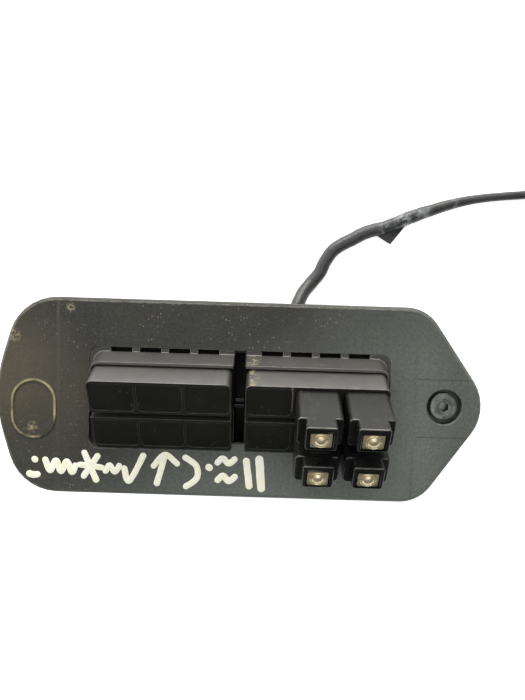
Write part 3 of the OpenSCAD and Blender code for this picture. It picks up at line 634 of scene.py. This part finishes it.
def plateMaterial():
    paint, tree, skin, place, colour = mouldedPlastic("plateGrain", plateLook)
    split = addNode(tree, "SeparateXYZ", {0: place}).outputs
    face = plateLook["face"]
    drift, fine = cloudy(tree, place, 24.0, 4.0), cloudy(tree, place, 900.0, 3.0, 0.7)
    sway = times(tree, math2(tree, "SUBTRACT", drift, 0.5), plateLook["sway"])
    # paler and greener towards the pointed end's plain edge: partly dust, partly a painted sheen
    across, up = plateLook["slant"]
    slant = math2(tree, "ADD", times(tree, split["X"], across), times(tree, split["Y"], up))
    pale = band(tree, math2(tree, "ADD", slant, sway), *(v * mm for v in plateLook["slantFrom"]))
    tip = band(tree, split["X"], *(v * mm for v in plateLook["tipFrom"]), 1.0, 0.62)
    pale = times(tree, pale, tip, band(tree, fine, 0.2, 0.62, 0.55, 1.1))
    colour = mixColour(tree, pale, colour, plateLook["cool"])
    # brown grime at the blunt end
    away = distanceTo(tree, place, plateLook["grimeAt"])
    grime = band(tree, math2(tree, "ADD", away, sway), *(v * mm for v in plateLook["grimeFrom"]))
    grime = times(tree, grime, band(tree, fine, 0.2, 0.6, 0.6, 1.0))
    colour = mixColour(tree, grime, colour, plateLook["brown"])
    # faint sink lines, and the lines beside the screw
    for x in plateLook["lines"]:
        line = band(tree, offLine(tree, split["X"], x), 0.9 * mm, 0.1 * mm)
        seen = times(tree, line, band(tree, drift, 0.4, 0.6, 0.1, 0.5))
        colour = mixColour(tree, seen, colour, plateLook["lineTone"])
    beyond = math2(tree, "LESS_THAN", split["X"], plateLook["rectangleFrom"] * mm)
    for y in plateLook["rectangle"]:
        line = band(tree, offLine(tree, split["Y"], y), 0.35 * mm, 0.1 * mm)
        colour = mixColour(tree, times(tree, line, beyond, 0.5), colour, plateLook["rectangleTone"])
    # small rubbed spots
    for x, y, wide in plateLook["rubs"]:
        near = band(tree, distanceTo(tree, place, (x, y, face)), wide * mm, 0)
        spot = times(tree, near, band(tree, fine, 0.45, 0.6))
        colour = mixColour(tree, spot, colour, plateLook["rubTone"])
    # light tan line round the oval, with a gap
    ovalX, ovalY = plateLook["ovalAt"]
    x = math2(tree, "SUBTRACT", split["X"], ovalX * mm)
    y = math2(tree, "SUBTRACT", offLine(tree, split["Y"], ovalY), plateLook["ovalStraight"] * mm)
    spot = addNode(tree, "CombineXYZ", {0: x, 1: math2(tree, "MAXIMUM", y)}).outputs[0]
    reach = addNode(tree, "VectorMath", {0: spot}, operation="LENGTH").outputs["Value"]
    wide = plateLook["ovalLine"] * mm
    ring = band(tree, offLine(tree, reach, plateLook["ovalRadius"]), 1.25 * wide, 0.5 * wide)
    gap = band(tree, distanceTo(tree, place, (*plateLook["ovalGap"], face)), 3 * mm, 6 * mm)
    ring = times(tree, ring, band(tree, cloudy(tree, place, 130.0, 5.0), 0.38, 0.56, 0.15, 1.0), gap)
    colour = mixColour(tree, ring, colour, plateLook["ovalTone"])
    tree.links.new(colour, skin.inputs["Base Color"])
    return paint


def makeFacePlate():
    form = mergedCopy("face_plate")
    oval = Vector((*plateLook["ovalAt"], 0)) * mm

    def offOval(edge):
        return (edge.verts[0].co - oval).xy.length > plateLook["ovalRoom"] * mm

    roundEdges(form, plateLook["edge"], where=offOval)
    pieceFrom(form, "facePlate", plateMaterial(), ["face_plate"])


makeFacePlate()
print("face plate")


# Collar frame, housings and blank caps

lean = {"angle": 28, "edge": (0, -6.949, 42.765)}
slots = {"rows": 13.6, "rowHalf": 0.96, "middleHalf": 2.15, "rib": -17.25, "tone": (0.0015, 0.0015, 0.0015)}
leaned = math.radians(lean["angle"])
frontWay = Vector((0, math.sin(leaned), math.cos(leaned)))
downWay = Vector((0, math.cos(leaned), -math.sin(leaned)))


def lengthAlong(tree, value, way):
    return addNode(tree, "VectorMath", {0: value, 1: way}, operation="DOT_PRODUCT").outputs["Value"]


def leanedDistance(tree, place, way):
    edge = Vector(lean["edge"]) * mm
    moved = addNode(tree, "VectorMath", {0: place, 1: edge}, operation="SUBTRACT").outputs[0]
    return lengthAlong(tree, moved, way)


def facing(tree, way, low, high):
    turned = addNode(tree, "Attribute", attribute_name="turned").outputs["Vector"]
    turned = addNode(tree, "VectorMath", {0: turned}, operation="NORMALIZE").outputs[0]
    return band(tree, lengthAlong(tree, turned, way), low, high)


def blockPlastic(name, look):
    paint, tree, skin, place, colour = mouldedPlastic(name, look)
    out, down = leanedDistance(tree, place, frontWay), leanedDistance(tree, place, downWay)
    # painted light: the wall that looks towards -Y and the key light is painted paler up to its front edge, broken
    # up by streaks
    wall = times(tree, facing(tree, -downWay, 0.5, 0.9), band(tree, down, 0.5 * mm, 0.0))
    streak, crumbs = cloudy(tree, place, 190.0, 5.0, 0.7), cloudy(tree, place, 520.0, 4.0, 0.7)
    pale = times(tree, wall, band(tree, out, -10.5 * mm, -0.5 * mm, 0.15, 1.0),
                 band(tree, streak, 0.3, 0.6, 0.7, 1.0))
    colour = mixColour(tree, pale, colour, look["pale"])
    # painted light and shade: faces that look along the front are painted darker on the housings and paler on the
    # collar, and faces that look straight up are painted a shade darker
    front = times(tree, facing(tree, frontWay, 0.97, 0.995), look["frontTone"])
    colour = mixColour(tree, front, colour, look["front"])
    flat = times(tree, facing(tree, Vector((0, 0, 1)), 0.95, 0.99), look["flatTone"])
    colour = mixColour(tree, flat, colour, look["flat"])
    # painted highlight: a bright line along the rounded front edge that looks towards -Y and the key light
    lit = addNode(tree, "Attribute", attribute_name="edgeWear").outputs["Fac"]
    lit = times(tree, lit, facing(tree, (frontWay - downWay).normalized(), 0.75, 0.93),
                band(tree, streak, 0.32, 0.56, 0.25, 0.95), band(tree, down, 1.5 * mm, 0.5 * mm))
    colour = mixColour(tree, lit, colour, look["line"])
    # tan dust rubbed into the right block's end, and beside its first cell
    acrossX = addNode(tree, "SeparateXYZ", {0: place}).outputs["X"]
    end = times(tree, band(tree, acrossX, -7.5 * mm, -4 * mm), math2(tree, "LESS_THAN", acrossX, -2.2 * mm), wall,
                band(tree, crumbs, 0.5, 0.62))
    rib = times(tree, band(tree, offLine(tree, acrossX, slots["rib"]), 0.5 * mm, 0.2 * mm),
                band(tree, crumbs, 0.46, 0.56), band(tree, down, 10.8 * mm, 9.8 * mm), front)
    colour = mixColour(tree, math2(tree, "MAXIMUM", end, rib), colour, look["tan"])
    # painted shade: inside the slot between the rows and the slot between the blocks, painted near black
    rows = math2(tree, "LESS_THAN", offLine(tree, down, slots["rows"]), slots["rowHalf"] * mm)
    middle = math2(tree, "LESS_THAN", math2(tree, "ABSOLUTE", acrossX), slots["middleHalf"] * mm)
    inside = times(tree, math2(tree, "MAXIMUM", rows, middle), band(tree, out, -0.3 * mm, -0.8 * mm))
    colour = mixColour(tree, inside, colour, slots["tone"])
    tree.links.new(colour, skin.inputs["Base Color"])
    return paint


# in these looks pale, front, flat and line are painted light and shade, while tan is dust
collarLook = {
    "colour": (0.034, 0.033, 0.030), "second": (0.048, 0.047, 0.042), "light": (0.15, 0.145, 0.13),
    "grainScale": 2600.0, "grainDepth": 0.25, "grainTone": 0.25, "scratch": 0.4, "speck": 0.16,
    "wear": 0.8, "worn": (0.20, 0.195, 0.17), "rough": (0.42, 0.55), "shine": 0.5, "edge": 0.2,
    "pale": (0.042, 0.041, 0.037), "front": (0.19, 0.185, 0.165), "frontTone": 0.85, "flat": (0.030, 0.029, 0.024),
    "flatTone": 0.85, "line": (0.20, 0.195, 0.175), "tan": (0.30, 0.26, 0.18),
}
housingLook = {
    "colour": (0.026, 0.026, 0.023), "second": (0.034, 0.034, 0.030), "light": (0.14, 0.14, 0.12),
    "grainScale": 2600.0, "grainDepth": 0.2, "grainTone": 0.15, "scratch": 0.4, "speck": 0.1,
    "wear": 0.6, "worn": (0.10, 0.10, 0.088), "rough": (0.36, 0.5), "shine": 0.5, "edge": 0.2,
    "pale": (0.115, 0.112, 0.105), "front": (0.012, 0.012, 0.0095), "frontTone": 0.9, "flat": (0.02, 0.02, 0.02),
    "flatTone": 0.0, "line": (0.27, 0.265, 0.245), "tan": (0.30, 0.26, 0.18),
}
capLook = {
    "colour": (0.0115, 0.0115, 0.0085), "second": (0.016, 0.016, 0.012), "light": (0.07, 0.07, 0.06),
    "grainScale": 3000.0, "grainDepth": 0.15, "grainTone": 0.08, "scratch": 0.35, "speck": 0.08,
    "speckTone": 0.35, "wear": 0.6, "worn": (0.045, 0.047, 0.038), "rough": (0.38, 0.5), "shine": 0.25,
    "edge": 0.22,
}
collarPaint = blockPlastic("collarPlastic", collarLook)
housingPaint = blockPlastic("housingPlastic", housingLook)
capPaint = mouldedPlastic("capPlastic", capLook)[0]
mouldedPiece("collar_frame", "collarFrame", collarPaint, collarLook["edge"])
for side in "ab":
    mouldedPiece("contact_housing_" + side, "contactHousing_" + side, housingPaint,
                 housingLook["edge"])
for number in range(1, 9):
    mouldedPiece(f"blank_cap_{number}", f"blankCap_{number}", capPaint, capLook["edge"])
print("collar frame, housings and caps")


# Plungers and their contacts

# line is a painted highlight and topSheen a painted reflection on the plungers
plungerLook = {
    "colour": (0.010, 0.010, 0.010), "second": (0.014, 0.014, 0.013), "light": (0.08, 0.08, 0.075),
    "grainScale": 3200.0, "grainDepth": 0.06, "grainTone": 0.04, "scratch": 0.5, "speck": 0.12,
    "speckTone": 0.4, "wear": 0.08, "worn": (0.10, 0.10, 0.095), "rough": (0.20, 0.36), "shine": 0.34, "edge": 0.5,
    "line": (0.20, 0.19, 0.17), "topSheen": (0.035, 0.033, 0.033), "reach": 18.6, "hollow": (3.7, 3.3), "sunk": 1.5,
}
contactLook = {
    "colour": (0.98, 0.85, 0.58), "second": (0.80, 0.64, 0.36), "rough": (0.24, 0.42), "grainDepth": 0.12,
    "metal": 0.74, "seat": 17.4, "flange": (6.5, 5.4, 0.7),
    "ring": ((0, 1.70), (0.45, 1.68), (0.9, 1.60), (1.3, 1.44), (1.6, 1.24), (1.78, 1.06), (1.9, 1.0), (2.1, 1.0),
             (2.2, 1.08), (2.36, 1.06), (2.5, 0.94), (2.5, 0.4), (0, 0.4)),
    "stem": ((0, 0.5), (1.25, 0.5), (1.25, -42.0), (1.0, -42.4), (0, -42.4)),
    "rest": (0, 0, 0.6, 0.6), "cells": ((-25.5, 6.3), (-41, 6.3), (-25.5, 20.9), (-41, 20.9)),
}


def plungerMaterial():
    paint, tree, skin, place, colour = mouldedPlastic("plungerGloss", plungerLook)
    # painted highlight: rounded edges that look up towards -Y, and those that look towards +X and the side light,
    # are painted light
    lit = addNode(tree, "Attribute", attribute_name="edgeWear").outputs["Fac"]
    crumbs, topSheen = cloudy(tree, place, 300.0, 4.0), cloudy(tree, place, 140.0, 5.0, 0.7)
    above = facing(tree, (frontWay - 1.6 * downWay).normalized(), 0.86, 0.97)
    beside = facing(tree, (Vector((1, 0, 0)) - downWay).normalized(), 0.75, 0.92)
    rubbedAndLit = times(tree, lit, band(tree, crumbs, 0.36, 0.58, 0.3, 1.0), math2(tree, "MAXIMUM", above, beside))
    colour = mixColour(tree, rubbedAndLit, colour, plungerLook["line"])
    # painted reflection: top faces that look towards -Y are painted a patchy paler sheen
    top = times(tree, facing(tree, -downWay, 0.9, 0.98), band(tree, topSheen, 0.52, 0.72, 0.0, 0.6))
    colour = mixColour(tree, top, colour, plungerLook["topSheen"])
    tree.links.new(colour, skin.inputs["Base Color"])
    return paint


plungerPaint = plungerMaterial()
contactPaint = metalFinish("contactGold", contactLook)


def leanedPlace(x, v, h):
    turned = Matrix.Rotation(math.radians(-lean["angle"]), 4, "X")
    return Matrix.Translation(Vector(lean["edge"]) * mm) @ turned @ Matrix.Translation(Vector((x, v, h)) * mm)


def makeContact(number):
    (x, v), rest = contactLook["cells"][number - 1], contactLook["rest"][number - 1]
    form = bmesh.new()
    addLathe(form, contactLook["ring"])
    addLathe(form, contactLook["stem"], 20)
    wide, high, thick = contactLook["flange"]
    addBlock(form, (wide, high, thick), (0, 0, thick / 2), 0.7, 4, 0.14)
    bmesh.ops.recalc_face_normals(form, faces=form.faces)
    bmesh.ops.transform(form, matrix=leanedPlace(x, v, contactLook["seat"] + rest), verts=form.verts)
    pieceFrom(form, f"contactPin_{number}", contactPaint, [f"contact_pin_{number}"],
              f"plunger_{number}")


def makePlungerShell(number):
    form = mergedCopy(f"plunger_shell_{number}")
    edge = Vector(lean["edge"]) * mm
    x, v = contactLook["cells"][number - 1]
    halfX, halfV = plungerLook["hollow"]
    tip = plungerLook["reach"] + contactLook["rest"][number - 1]

    def spot(point):
        return (point.x / mm - x, (point - edge).dot(downWay) / mm - v, (point - edge).dot(frontWay) / mm - tip)

    def outside(e):
        ends = [spot(w.co) for w in e.verts]
        return all(h > -plungerLook["reach"] - plungerLook["sunk"] and (abs(a) > halfX or abs(b) > halfV)
                   for a, b, h in ends)

    wear = form.faces.layers.float.new("edgeWear")
    sharp = [e for e in form.edges if len(e.link_faces) == 2 and e.calc_face_angle() > 0.5 and e.is_convex
             and outside(e)]
    made = bmesh.ops.bevel(form, geom=sharp, offset=plungerLook["edge"] * mm, offset_type="OFFSET", segments=3,
                           profile=0.5, affect="EDGES", clamp_overlap=False, material=-1)
    for face in made["faces"]:
        face[wear] = 1.0
    pieceFrom(form, f"plungerShell_{number}", plungerPaint, [f"plunger_shell_{number}"],
              f"plunger_{number}")


for number in range(1, 5):
    makePlungerShell(number)
    makeContact(number)
print("plungers and contacts")


# Mounting screw

screwLook = {
    "colour": (0.22, 0.23, 0.21), "second": (0.12, 0.13, 0.12), "rough": (0.34, 0.52), "grainDepth": 0.2,
    "at": (-69.7, 0, 30.165), "socket": 3.0, "deep": 2.2, "rim": -0.55,
    "profile": ((1.95, -0.50), (2.28, -0.44), (2.38, -0.60), (2.62, -0.60), (2.75, -0.42), (3.9, -0.40),
                (4.55, -0.50), (4.87, -0.80), (4.95, -1.2), (4.95, -3.2), (2.1, -3.2), (2.1, -9.8), (2.5, -9.8),
                (2.5, -16.4), (2.0, -17), (0, -17)),
}


def makeMountingScrew():
    form = bmesh.new()
    addLathe(form, screwLook["profile"], 48)
    inner = [e for e in form.edges if len(e.link_faces) == 1]
    corner = screwLook["socket"] / 2 / math.cos(math.radians(30)) * mm
    hexagon = bmesh.ops.create_circle(form, cap_ends=False, segments=6, radius=corner,
                                      matrix=Matrix.Translation((0, 0, screwLook["rim"] * mm)))["verts"]
    rim = [e for e in form.edges if all(v in hexagon for v in e.verts)]
    bmesh.ops.bridge_loops(form, edges=inner + rim)
    wall = bmesh.ops.extrude_edge_only(form, edges=rim)["geom"]
    low = [v for v in wall if isinstance(v, bmesh.types.BMVert)]
    bmesh.ops.translate(form, verts=low, vec=(0, 0, -screwLook["deep"] * mm))
    bmesh.ops.contextual_create(form, geom=[e for e in wall if isinstance(e, bmesh.types.BMEdge)])
    bmesh.ops.recalc_face_normals(form, faces=form.faces)
    bmesh.ops.translate(form, verts=form.verts, vec=Vector(screwLook["at"]) * mm)
    pieceFrom(form, "mountingScrew", metalFinish("screwSteel", screwLook), ["mounting_screw"])


makeMountingScrew()
print("mounting screw")


# Rear cover, its screws and the cable's grommet

coverLook = {
    "colour": (0.022, 0.022, 0.021), "second": (0.032, 0.032, 0.03), "light": (0.09, 0.09, 0.085),
    "grainScale": 2200.0, "grainDepth": 0.4, "grainTone": 0.2, "scratch": 0.35, "speck": 0.14, "wear": 0.4,
    "worn": (0.15, 0.15, 0.14), "rough": (0.45, 0.6), "edge": 0.3, "inset": 5, "recess": 0.5,
}
coverScrewLook = {"colour": (0.42, 0.41, 0.38), "second": (0.25, 0.24, 0.22), "rough": (0.3, 0.5)}
grommetLook = {
    "colour": (0.016, 0.016, 0.016), "second": (0.024, 0.024, 0.023), "light": (0.06, 0.06, 0.058),
    "rough": (0.5, 0.7), "wear": 0.3, "worn": (0.08, 0.08, 0.08), "at": (-19, -23.295, 8.5),
    "profile": ((2.55, 0), (4.6, 0), (5.0, 0.3), (5.0, 0.9), (4.7, 1.2), (3.6, 1.2), (3.6, 3.2), (4.6, 3.2),
                (4.8, 3.4), (4.8, 4.0), (4.6, 4.2), (3.45, 4.3), (3.5, 4.45), (3.3, 4.55), (3.3, 4.75),
                (3.45, 4.85), (3.2, 5.2), (2.55, 5.2), (2.55, 0)),
}


def makeCover():
    form = mergedCopy("rear_cover")
    bottom = min((f for f in form.faces if f.normal.z < -0.99), key=lambda f: f.calc_center_median().z)
    bmesh.ops.inset_region(form, faces=[bottom], thickness=coverLook["inset"] * mm)
    made = bmesh.ops.extrude_discrete_faces(form, faces=[bottom])["faces"]
    bmesh.ops.translate(form, verts=list({v for f in made for v in f.verts}), vec=(0, 0, coverLook["recess"] * mm))
    bmesh.ops.remove_doubles(form, verts=form.verts, dist=0.002 * mm)
    roundEdges(form, coverLook["edge"])
    pieceFrom(form, "rearCover", mouldedPlastic("coverPlastic", coverLook)[0], ["rear_cover"])
    mouldedPiece("cover_screws", "coverScrews", metalFinish("coverScrewSteel", coverScrewLook), 0.2)


def makeGrommet():
    form = bmesh.new()
    addLathe(form, grommetLook["profile"], 40)
    bmesh.ops.recalc_face_normals(form, faces=form.faces)
    turned = Matrix.Translation(Vector(grommetLook["at"]) * mm) @ Matrix.Rotation(math.pi / 2, 4, "X")
    bmesh.ops.transform(form, matrix=turned, verts=form.verts)
    pieceFrom(form, "cableGrommet", mouldedPlastic("grommetRubber", grommetLook)[0],
              ["cable_grommet"])


makeCover()
makeGrommet()
print("rear cover, cover screws and grommet")


# Finishes of the frame's own solids that stay as they are

springLook = {"colour": (0.48, 0.47, 0.45), "second": (0.32, 0.31, 0.30), "rough": (0.22, 0.4), "travel": 6.5}
clipLook = {"colour": (0.62, 0.48, 0.22), "second": (0.42, 0.31, 0.14), "rough": (0.25, 0.45)}
bushLook = {"colour": (0.45, 0.44, 0.42), "second": (0.30, 0.29, 0.28), "rough": (0.3, 0.5)}
gasketLook = {"colour": (0.014, 0.014, 0.014), "second": (0.02, 0.02, 0.02), "rough": (0.7, 0.85),
              "grainDepth": 0.7, "grainScale": 1800.0}
boardLook = {"colour": (0.030, 0.030, 0.028), "second": (0.042, 0.042, 0.04), "rough": (0.4, 0.55)}
leadLook = {
    "lead_wire_1": (0.30, 0.02, 0.015), "lead_wire_2": (0.30, 0.26, 0.03), "lead_wire_3": (0.03, 0.10, 0.28),
    "lead_wire_4": (0.45, 0.44, 0.41),
}


def finishNode(node, paint):
    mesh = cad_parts[node].data
    mesh.materials.clear()
    mesh.materials.append(paint)


boardPaint = mouldedPlastic("boardPlastic", boardLook)[0]
springPaint, clipPaint = metalFinish("springSteel", springLook), metalFinish("clipBrass", clipLook)
bushPaint = metalFinish("bushSteel", bushLook)
finishNode("plate_gasket", mouldedPlastic("gasketFoam", gasketLook)[0])
for node in ("terminal_board_a", "terminal_board_b"):
    finishNode(node, boardPaint)
for number in range(1, 5):
    finishNode(f"terminal_clip_{number}", clipPaint)
for node, tint in leadLook.items():
    darker, paler = (tuple(min(1, share * c) for c in tint) for share in (0.8, 1.5))
    look = {"colour": tint, "second": darker, "light": paler, "rough": (0.35, 0.5), "wear": 0}
    finishNode(node, mouldedPlastic(node + "_pvc", look)[0])
finishNode("screw_bush", bushPaint)
finishNode("screw_washer", bushPaint)
print("frame's own solids")


# Springs: merged copies of the frame's springs, each with a mesh of its own

def makeSpring(number):
    form = mergedCopy(f"plunger_spring_{number}")
    spring = pieceFrom(form, f"plungerSpring_{number}", springPaint, [f"plunger_spring_{number}"])
    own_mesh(spring)


for number in range(1, 5):
    makeSpring(number)
print("springs")


# Marker strokes

markerLook = {
    "colour": (0.94, 0.91, 0.66), "second": (1.0, 0.985, 0.86), "light": (1, 1, 0.92), "cloud": 160.0,
    "rough": (0.38, 0.5), "grainTone": 0.3, "speck": 0.03, "scratch": 0.1, "wear": 0, "thick": 0.09,
    "face": 30.165, "glow": 0.16, "blunt": 0.12, "round": 6,
    "marks": (
        (1.1, (69.3, 22.1), (69.1, 22.25)), (1.15, (71, 27.2), (69.6, 27.5), (68.3, 27.3)),
        (1.1, (65.6, 22.2), (63.9, 25.8), (62, 22.4), (60.2, 26), (58.3, 22.6), (56.5, 26.2), (55.4, 24)),
        (1.1, (52.3, 19.4), (48.2, 28.6)), (1.05, (47.8, 20.4), (52.4, 27.4)), (1.0, (46.4, 24.3), (53.8, 23.5)),
        (1.05, (45, 25.4), (43.6, 23.4), (41.9, 25.6), (40.4, 23.6)),
        (1.05, (38.6, 24.4), (36.8, 28.6), (32.2, 19.8)),
        (1.05, (27.4, 29.2), (24.8, 19.4)), (1.0, (28.6, 23.2), (24.8, 19.2), (20.6, 22.2)),
        (1.05, (17.8, 20), (14, 22.8), (13.8, 27), (17.4, 30)),
        (1.2, (9.75, 23.1), (9.55, 23.25)),
        (1.05, (6.8, 21.4), (5, 19.9), (3, 21.6), (1, 20.1)),
        (1.1, (6.6, 27.4), (4.8, 25.9), (2.8, 27.7), (0.8, 26.2)),
        (1.2, (-3, 20.6), (-4.2, 29.2)), (1.4, (-7.4, 19.9), (-8.4, 29.8)),
    ),
}


def makeMarks():
    form = bmesh.new()
    for number, (half, *dots) in enumerate(markerLook["marks"]):
        line = [Vector((*dot, markerLook["face"])) for dot in dots]
        path = smoothPath(line, [half] * len(line), 0.3)[0]
        # the ends are carried on by half a width, and rounded
        first, last = (path[0] - path[1]).normalized(), (path[-1] - path[-2]).normalized()
        ends = [math.cos(math.radians(k * 15)) for k in range(markerLook["round"])]
        start = [path[0] + first * half * c for c in ends]
        finish = [path[-1] + last * half * c for c in reversed(ends)]
        taper = [max(markerLook["blunt"], math.sqrt(1 - c * c)) for c in ends]
        shape = taper + [1] * (len(path) - 2) + taper[::-1]
        path = start + path[1:-1] + finish

        def ring(i, run, angle):
            uneven = 1 + 0.10 * noise.noise(Vector((run * 0.35, number * 3.1, 1 if math.cos(angle) > 0 else 5)))
            return half * shape[i] * uneven, markerLook["thick"] * max(0.4, shape[i])

        sweepTube(form, path, 12, ring)
    bmesh.ops.recalc_face_normals(form, faces=form.faces)
    paint, tree, skin, place, colour = mouldedPlastic("markerPaint", markerLook)
    # painted light: the strokes glow faintly in their own colour, though they are no lamp
    tree.links.new(colour, skin.inputs["Emission Color"])
    skin.inputs["Emission Strength"].default_value = markerLook["glow"]
    pieceFrom(form, "markerStrokes", paint)


makeMarks()
print("marker strokes")
